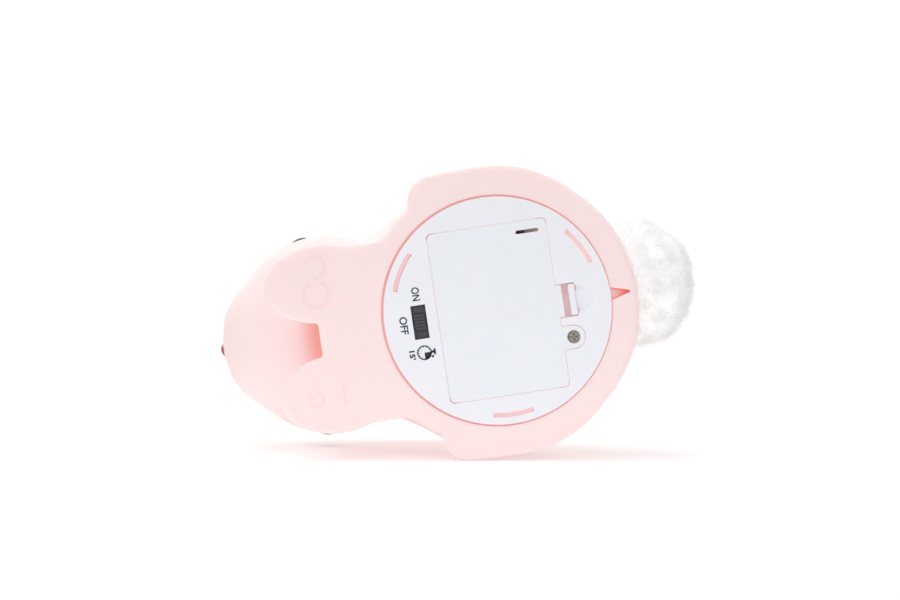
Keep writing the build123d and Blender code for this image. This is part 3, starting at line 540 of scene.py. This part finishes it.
def rabbit(p):
    """Signed distance to the animal's outside, in millimetres."""
    side = mirrored(p)
    shifted = p - np.array((PAW_SHIFT, 0, 0), np.float32)
    front = mirrored(shifted)
    field = join(trunk(p - np.array((0, TRUNK_SHIFT, 0), np.float32)), ellipsoid(p, *SHOULDERS), 14.0)
    field = join(field, ellipsoid(p, *CHEST), 7.0)
    field = join(field, ellipsoid(side, *HAUNCH), 5.0)
    field = join(field, ellipsoid(front, *FORELEG), 3.5)
    field = join(field, apron(shifted), 2.2)
    field = join(field, pad(front, *PAW, SOLE_EDGE), 0.9)
    field = join(field, foot(side, FOOT_ROUTE, *FOOT, SOLE_EDGE), 0.6)
    face = join(ellipsoid(p, *HEAD), ellipsoid(side, *CHEEK), 9.0)
    face = join(face, ellipsoid(p, *MUZZLE), 5.0)
    field = join(field, face, 3.0)
    field = join(field, ear(side), 1.6)
    ground = -p[..., 2]
    return -join(-field, -ground, 1.3)


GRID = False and 1.5 or 0.92
LOW = np.array((-50.0, -101.0, -4.0))
HIGH = np.array((50.0, 52.0, 101.0))


def surface_of(field, step):
    """Quads on the zero of a field that is sampled on the grid."""
    grid = openvdb.FloatGrid(4.0)
    grid.copyFromArray(np.ascontiguousarray(np.clip(field, -4, 4), dtype=np.float32))
    points, quads = grid.convertToQuads(isovalue=0.0)
    return points * step + LOW, quads[:, ::-1]


def grid_points(step):
    axes = [np.arange(LOW[i], HIGH[i] + step, step, dtype=np.float32) for i in range(3)]
    return np.stack(np.meshgrid(*axes, indexing="ij"), -1)


def settled(points, reach=0.05, passes=2):
    """Points moved along the field's slope onto its zero, which takes out the grid's steps."""
    points = points.astype(np.float64)
    for _ in range(passes):
        value = rabbit(points)
        steps = np.eye(3) * reach
        rises = [(rabbit(points + step) - rabbit(points - step)) / (2 * reach) for step in steps]
        slope = np.stack(rises, -1)
        move = -value[:, None] * slope / np.maximum((slope**2).sum(-1), 0.2)[:, None]
        points += np.clip(move, -0.5, 0.5)
    return points


def prisms(name, outlines, low, high):
    """Upright closed blocks on flat outlines that run anticlockwise seen from above."""
    points, faces = [], []
    for outline in outlines:
        first, count = len(points), len(outline)
        points += [(x, y, low) for x, y in outline] + [(x, y, high) for x, y in outline]
        faces.append([first + i for i in range(count)][::-1])
        faces.append([first + count + i for i in range(count)])
        for i in range(count):
            j = (i + 1) % count
            faces.append((first + i, first + j, first + count + j, first + count + i))
    return mesh_from(name, points, faces)


def curve_bar(centre, radius, start, end, width, count=14):
    """The outline of a bent bar."""
    angles = np.radians(np.linspace(start, end, count))
    sides = [
        [(centre[0] + reach * math.cos(a), centre[1] + reach * math.sin(a)) for a in angles]
        for reach in (radius + width / 2, radius - width / 2)
    ]
    return sides[0] + sides[1][::-1]


def mould_marks():
    """Plain sunk curves on the paws, in place of the moulder's own marks."""
    marks = [curve_bar((22.0, -55.5), 3.4, -60, 190, 0.8), curve_bar((13.5, -56.0), 4.0, 30, 330, 0.8)]
    marks.append(curve_bar((-19.5, -60.5), 2.1, 0, 300, 0.6))
    marks.append([(-22.6, -52.0), (-15.4, -52.0), (-15.4, -51.3), (-22.6, -51.3)])
    return marks


def build_skin():
    points, quads = surface_of(rabbit(grid_points(GRID)), GRID)
    points = settled(points)
    points[:, 2] = np.maximum(points[:, 2], 0.0)
    skin = bpy.data.objects.new("skin_work", mesh_from("skin_work", points, quads))
    bpy.context.scene.collection.objects.link(skin)
    coarse = grid_points(HOLLOW_STEP)
    inside = np.maximum(rabbit(coarse) + WALL, LIP_TOP - coarse[..., 2])
    points, quads = surface_of(inside, HOLLOW_STEP)
    cut(skin, mesh_from("hollow", points, quads))
    edge = RECESS_EDGE
    turns = np.linspace(math.pi / 2, 0, 5)
    bend = [(RECESS_R + edge * (1 - math.cos(a)), edge * (1 - math.sin(a))) for a in turns]
    rim = [(RECESS_R + edge - r + RECESS_R, z) for r, z in bend]
    mouth = [(0, BELOW), (RECESS_R + RECESS_EDGE, BELOW)]
    seat = [(RECESS_R, LIP_Z), (LIP_R, LIP_Z), (LIP_R, RECESS_TOP), (0, RECESS_TOP)]
    cut(skin, lathe("recess", mouth + rim + seat, centre=RECESS_SHIFT))
    wide, narrow, tip = NOTCH
    notch = [(-wide, PLATE_R - 1), (wide, PLATE_R - 1), (narrow, tip), (-narrow, tip)]
    cut(skin, prisms("notch", [notch], BELOW, LIP_Z))
    cut(skin, prisms("mould_marks", mould_marks(), BELOW, MARK_DEPTH))
    mesh = skin.data
    bpy.data.objects.remove(skin)
    mesh.name = "skin"
    smooth(mesh, 40.0)
    return mesh


skin = piece("skin", build_skin(), "body", "vinyl_pink")
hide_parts("body_skin")


# ---------------------------------------------------------------- nose
def build_nose():
    shape = bmesh.new()
    bmesh.ops.create_icosphere(shape, subdivisions=4, radius=1.0)
    for v in shape.verts:
        x, y, z = v.co
        wide = 2.55 * (1.0 + 0.32 * z)
        v.co = Vector((x * wide, y * 1.9 + 0.25 * x * x, z * 1.75 - 0.35 * x * x))
    low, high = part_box("nose")
    tip = low.y / MM
    bmesh.ops.translate(shape, verts=shape.verts, vec=Vector((0, tip + 2.1, (low.z + high.z) / 2 / MM)))
    bmesh.ops.scale(shape, verts=shape.verts, vec=Vector((MM, MM, MM)))
    made = bpy.data.meshes.new("nose_button")
    shape.to_mesh(made)
    shape.free()
    smooth(made)
    return made


nose = piece("nose_button", build_nose(), "body", "nose_rose")
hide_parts("nose")

# ---------------------------------------------------------------- pompom tail
TAIL_CENTRE = np.array((2.2, 46.0, 30.0))
TAIL_R = 23.0
CORE_R = 13.0


def build_core():
    """The knot of packed fibre roots in the middle of the pompom."""
    shape = bmesh.new()
    bmesh.ops.create_icosphere(shape, subdivisions=5, radius=1.0)
    rng = np.random.default_rng(SEED)
    waves = rng.normal(size=(24, 3)) * 9.0
    phases = rng.uniform(0, 2 * math.pi, 24)
    co = np.array([v.co for v in shape.verts])
    bumps = np.sin(co @ waves.T + phases).sum(1) / 24
    co *= (CORE_R * (1 + 0.16 * bumps))[:, None]
    co += TAIL_CENTRE
    for v, c in zip(shape.verts, co):
        v.co = Vector(c) * MM
    made = bpy.data.meshes.new("pompom_core")
    shape.to_mesh(made)
    shape.free()
    smooth(made, 80.0)
    return made


def build_fur(name, count, seed):
    """Tapered three-sided fibres that leave the core, bend and gather into tufts."""
    rng = np.random.default_rng(seed)
    heading = rng.normal(size=(count, 3))
    heading /= np.linalg.norm(heading, axis=1)[:, None]
    tufts = np.random.default_rng(SEED).normal(size=(260, 3))
    tufts /= np.linalg.norm(tufts, axis=1)[:, None]
    owner = np.argmax(heading @ tufts.T, axis=1)
    tuft_length = np.random.default_rng(SEED + 1).uniform(0.90, 1.0, len(tufts))
    length = TAIL_R * tuft_length[owner] * rng.uniform(0.90, 1.0, count) - CORE_R * 0.7
    bend = rng.normal(size=(count, 3)) * 0.10
    sway = np.random.default_rng(SEED + 2).normal(size=(len(tufts), 3)) * 0.10
    rings = []
    for t in (0.0, 0.45, 0.8, 1.0):
        aim = heading + (tufts[owner] - heading) * 0.6 * t**1.5 + (bend + sway[owner]) * t**2
        aim /= np.linalg.norm(aim, axis=1)[:, None]
        rings.append(TAIL_CENTRE + aim * (CORE_R * 0.7 + length * t)[:, None])
    line = np.stack(rings, 1)
    outside = rabbit(line.astype(np.float32)).min(1) > -1.0
    line, heading = line[outside], heading[outside]
    kept = len(line)
    across = np.cross(heading, (0.31, 0.52, 0.79))
    across /= np.linalg.norm(across, axis=1)[:, None]
    other = np.cross(heading, across)
    width = np.array((0.17, 0.15, 0.11)) * rng.uniform(0.8, 1.2, kept)[:, None]
    points = np.zeros((kept, 10, 3))
    for k in range(3):
        for corner in range(3):
            a = 2 * math.pi * corner / 3
            offset = across * math.cos(a) + other * math.sin(a)
            points[:, 3 * k + corner] = line[:, k] + offset * width[:, k, None]
    points[:, 9] = line[:, 3]
    pattern = [(0, 2, 1)]
    for k in range(2):
        for corner in range(3):
            after = (corner + 1) % 3
            pattern.append((3 * k + corner, 3 * k + after, 3 * k + 3 + after, 3 * k + 3 + corner))
    pattern += [(6, 7, 9), (7, 8, 9), (8, 6, 9)]
    faces = [[10 * i + v for v in face] for i in range(kept) for face in pattern]
    made = bpy.data.meshes.new(name)
    made.from_pydata((points.reshape(-1, 3) * MM).tolist(), [], faces)
    made.update()
    smooth(made, 180.0)
    return made


core = piece("pompom_core", build_core(), "body", "pompom_fur")
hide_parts("tail_pompom")
for number in range(4):
    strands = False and 6000 or 12000
    name = f"pompom_fur_{number + 1}"
    fur = piece(name, build_fur(name, strands, SEED + number), "body", "pompom_fur")
    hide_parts("tail_pompom")

# ---------------------------------------------------------------- printed marks round the switch
INK_T = 0.03
switch_low, switch_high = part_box("switch_knob")
SWITCH_Y = (switch_low.y + switch_high.y) / 2 / MM


def place_mark(made, x, y):
    """Lays flat artwork, drawn with u along -X and v along +Y, on the plate's underside."""
    matrix = Matrix(((-MM, 0, 0, x * MM), (0, MM, 0, y * MM), (0, 0, -MM, 0), (0, 0, 0, 1)))
    made.transform(matrix)
    return made


def lettering(name, words, x, y, height, length, weight=0.0):
    """A word with its centre at x, y, fitted to its capital height and its length."""
    curve = bpy.data.curves.new(name, "FONT")
    curve.body = words
    curve.extrude = 0.01
    curve.offset = weight
    curve.resolution_u = 8
    holder = bpy.data.objects.new(name, curve)
    bpy.context.scene.collection.objects.link(holder)
    bpy.context.view_layer.update()
    mesh = bpy.data.meshes.new_from_object(holder)
    bpy.data.objects.remove(holder)
    co = np.array([v.co for v in mesh.vertices])
    low, high = co.min(0), co.max(0)
    co = (co - (low + high) / 2) * np.array((length, height, 2 * INK_T)) / (high - low)
    mesh.vertices.foreach_set("co", co.ravel())
    mesh.update()
    return piece(name, place_mark(mesh, x, y), "body", "plastic_black")


def slab(shape, outline):
    """A thin prism on a flat outline of (u, v) points."""
    low = [shape.verts.new((u, v, -INK_T)) for u, v in outline]
    high = [shape.verts.new((u, v, INK_T)) for u, v in outline]
    shape.faces.new(low[::-1])
    shape.faces.new(high)
    count = len(outline)
    for i in range(count):
        j = (i + 1) % count
        shape.faces.new((low[i], low[j], high[j], high[i]))


def arc(radius, start, end, count):
    return [
        (radius * math.cos(math.radians(a)), radius * math.sin(math.radians(a)))
        for a in np.linspace(start, end, count)
    ]


def bar(centre, along, length, width):
    """Corners of a bar whose long side points at the given angle in degrees."""
    a = math.radians(along)
    u, v = math.cos(a), math.sin(a)
    corners = ((-1, -1), (1, -1), (1, 1), (-1, 1))
    return [
        (
            centre[0] + u * length / 2 * s - v * width / 2 * t,
            centre[1] + v * length / 2 * s + u * width / 2 * t,
        )
        for s, t in corners
    ]


def timer_mark(x, y, radius=2.35):
    """A stop-watch: a ring with ticks, a quarter filled in, and a crown."""
    shape = bmesh.new()
    line = 0.38
    for i in range(48):
        start, end = i * 7.5, (i + 1) * 7.5
        slab(shape, arc(radius, start, end, 2) + arc(radius - line, end, start, 2))
    for i in range(12):
        a = math.radians(i * 30)
        middle = radius - line - 0.25
        slab(shape, bar((middle * math.cos(a), middle * math.sin(a)), i * 30, 0.5, 0.16))
    slab(shape, [(0, 0)] + arc(radius - line * 0.5, 0, 90, 13))
    slab(shape, bar((0, radius + 0.35), 90, 0.9, 0.75))
    slab(shape, bar((0, radius + 0.95), 0, 1.9, 0.62))
    slab(shape, bar((1.45, radius + 0.15), -45, 0.8, 0.6))
    mesh = bpy.data.meshes.new("mark_timer")
    shape.to_mesh(mesh)
    shape.free()
    return piece("mark_timer", place_mark(mesh, x, y), "body", "plastic_black")


lettering("mark_on", "ON", 9.0, SWITCH_Y - 0.1, 2.45, 4.3, 0.018)
lettering("mark_off", "OFF", -0.4, SWITCH_Y - 5.2, 2.45, 5.6, 0.018)
lettering("mark_minutes", "15'", -10.1, SWITCH_Y - 3.9, 1.9, 2.9, 0.035)
timer_mark(-9.8, SWITCH_Y)


# ---------------------------------------------------------------- floor, lights and camera
def one_sided(name, colour):
    """Matt white that shows from its front only and fades away from its middle, so that it blocks no view."""
    made = bpy.data.materials.new(name)
    made.use_nodes = True
    tree = made.node_tree
    tree.nodes.clear()
    out = tree.nodes.new("ShaderNodeOutputMaterial")
    mix = tree.nodes.new("ShaderNodeMixShader")
    lit = tree.nodes.new("ShaderNodeAddShader")
    fill = tree.nodes.new("ShaderNodeEmission")
    white = tree.nodes.new("ShaderNodeBsdfDiffuse")
    clear = tree.nodes.new("ShaderNodeBsdfTransparent")
    facing = tree.nodes.new("ShaderNodeNewGeometry")
    place = tree.nodes.new("ShaderNodeTexCoord")
    reach = tree.nodes.new("ShaderNodeVectorMath")
    reach.operation = "LENGTH"
    fade = tree.nodes.new("ShaderNodeMapRange")
    fade.interpolation_type = "SMOOTHSTEP"
    fade.inputs["From Min"].default_value = 0.10
    fade.inputs["From Max"].default_value = 0.22
    hidden = tree.nodes.new("ShaderNodeMath")
    hidden.operation = "MAXIMUM"
    white.inputs["Color"].default_value = (*colour, 1)
    fill.inputs["Color"].default_value = (1.0, 0.985, 0.98, 1)
    fill.inputs["Strength"].default_value = 0.27
    tree.links.new(white.outputs["BSDF"], lit.inputs[0])
    tree.links.new(fill.outputs["Emission"], lit.inputs[1])
    tree.links.new(place.outputs["Object"], reach.inputs[0])
    tree.links.new(reach.outputs["Value"], fade.inputs["Value"])
    tree.links.new(facing.outputs["Backfacing"], hidden.inputs[0])
    tree.links.new(fade.outputs["Result"], hidden.inputs[1])
    tree.links.new(hidden.outputs["Value"], mix.inputs["Fac"])
    tree.links.new(lit.outputs["Shader"], mix.inputs[1])
    tree.links.new(clear.outputs["BSDF"], mix.inputs[2])
    tree.links.new(mix.outputs["Shader"], out.inputs["Surface"])
    return made


def floor(name, place, half=0.23):
    mesh = bpy.data.meshes.new(name)
    corners = [(-half, -half, 0), (half, -half, 0), (half, half, 0), (-half, half, 0)]
    mesh.from_pydata(corners, [], [(0, 1, 2, 3)])
    mesh.materials.append(one_sided(name, (0.82, 0.81, 0.81)))
    made = bpy.data.objects.new(name, mesh)
    bpy.context.scene.collection.objects.link(made)
    made.matrix_world = place
    return made


ROLL = math.radians(8.5)  # the animal lies on its right side, turned a little
UP = Vector((math.cos(ROLL), math.sin(ROLL), 0.0))
RIGHT = Vector((-math.sin(ROLL), math.cos(ROLL), 0.0))
FORWARD = Vector((0, 0, 1))
FLOOR_GAP = 0.0002
skin_points = np.array([v.co for v in skin.data.vertices])
side_rest = (skin_points @ np.array(UP)).min()
wall = Matrix.Translation(UP * (side_rest - FLOOR_GAP)) @ UP.to_track_quat("Z", "Y").to_matrix().to_4x4()
floor("floor_beside", wall)
standing = floor("floor_under", Matrix.Translation((0, 0, -0.0001)))
standing.visible_diffuse = False
standing.visible_glossy = False
standing.visible_transmission = False
standing.visible_shadow = False

world = bpy.data.worlds.new("studio")
world.use_nodes = True
backdrop = world.node_tree.nodes["Background"]
backdrop.inputs["Color"].default_value = (1.0, 1.0, 1.0, 1)
ray = world.node_tree.nodes.new("ShaderNodeLightPath")
level = world.node_tree.nodes.new("ShaderNodeMapRange")
level.inputs["To Min"].default_value = 0.68
level.inputs["To Max"].default_value = 1.02
world.node_tree.links.new(ray.outputs["Is Camera Ray"], level.inputs["Value"])
world.node_tree.links.new(level.outputs["Result"], backdrop.inputs["Strength"])
bpy.context.scene.world = world
bpy.context.scene.view_settings.view_transform = "Standard"


def area_light(name, place, target, size, power):
    lamp = bpy.data.lights.new(name, "AREA")
    lamp.energy = power
    lamp.size = size
    made = bpy.data.objects.new(name, lamp)
    bpy.context.scene.collection.objects.link(made)
    made.location = place
    made.rotation_euler = (Vector(target) - Vector(place)).to_track_quat("-Z", "Y").to_euler()
    return made


AIM_LOW = (0, 0, 0.03)
AIM_HIGH = (0, 0, 0.04)
area_light("key", UP * 0.8 - RIGHT * 0.1 + FORWARD * 0.12, AIM_LOW, 0.6, 2.4)
area_light("front", UP * 0.5 - RIGHT * 0.3 - FORWARD * 0.6, AIM_LOW, 0.6, 1.2)
area_light("top", (0.25, -0.3, 0.8), AIM_HIGH, 0.7, 0.8)

lens_data = bpy.data.cameras.new("camera")
lens_data.sensor_width = 36
lens_data.lens = 75.7
lens_data.clip_start = 0.01
camera = bpy.data.objects.new("camera", lens_data)
bpy.context.scene.collection.objects.link(camera)
eye = Vector((0.005, -0.0143, -0.6)) - 0.00022 * RIGHT + 0.00052 * UP
camera.matrix_world = Matrix.Translation(eye) @ Matrix((RIGHT, UP, -FORWARD)).transposed().to_4x4()
bpy.context.scene.camera = camera
